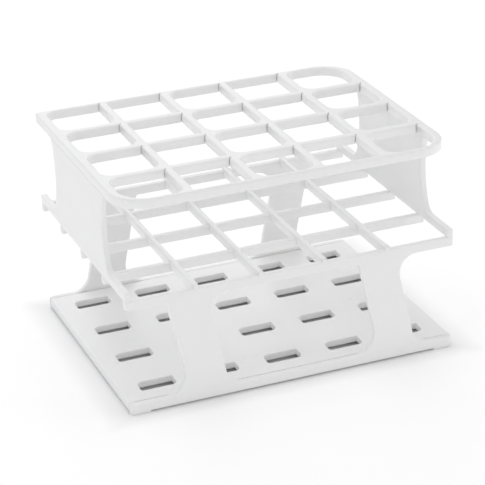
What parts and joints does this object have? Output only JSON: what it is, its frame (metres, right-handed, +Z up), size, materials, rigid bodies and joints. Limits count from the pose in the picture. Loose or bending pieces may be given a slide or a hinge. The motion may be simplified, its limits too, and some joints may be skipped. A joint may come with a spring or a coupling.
{
  "type": "test tube rack",
  "caption": "Moulded rack that holds test tubes upright, with an open top grid, a lattice middle tier and a slotted base plate joined by leg frames and waisted end panels.",
  "frame": {"origin": "on the table under the middle of the rack", "axes": "+X along the rack's length, +Y from the front to the rear, +Z up"},
  "size_m": [0.152, 0.1186, 0.0976],
  "materials": {
    "rack_plastic": "satin white moulded plastic"
  },
  "bodies": {
    "root": {"base_plate": "rack_plastic", "front_leg_frame": "rack_plastic", "rear_leg_frame": "rack_plastic", "front_rail": "rack_plastic", "centre_rail": "rack_plastic", "rear_rail": "rack_plastic", "cross_bar_1": "rack_plastic", "cross_bar_2": "rack_plastic", "cross_bar_3": "rack_plastic", "cross_bar_4": "rack_plastic", "left_end_panel": "rack_plastic", "right_end_panel": "rack_plastic", "top_grid": "rack_plastic"}
  },
  "joints": []
}
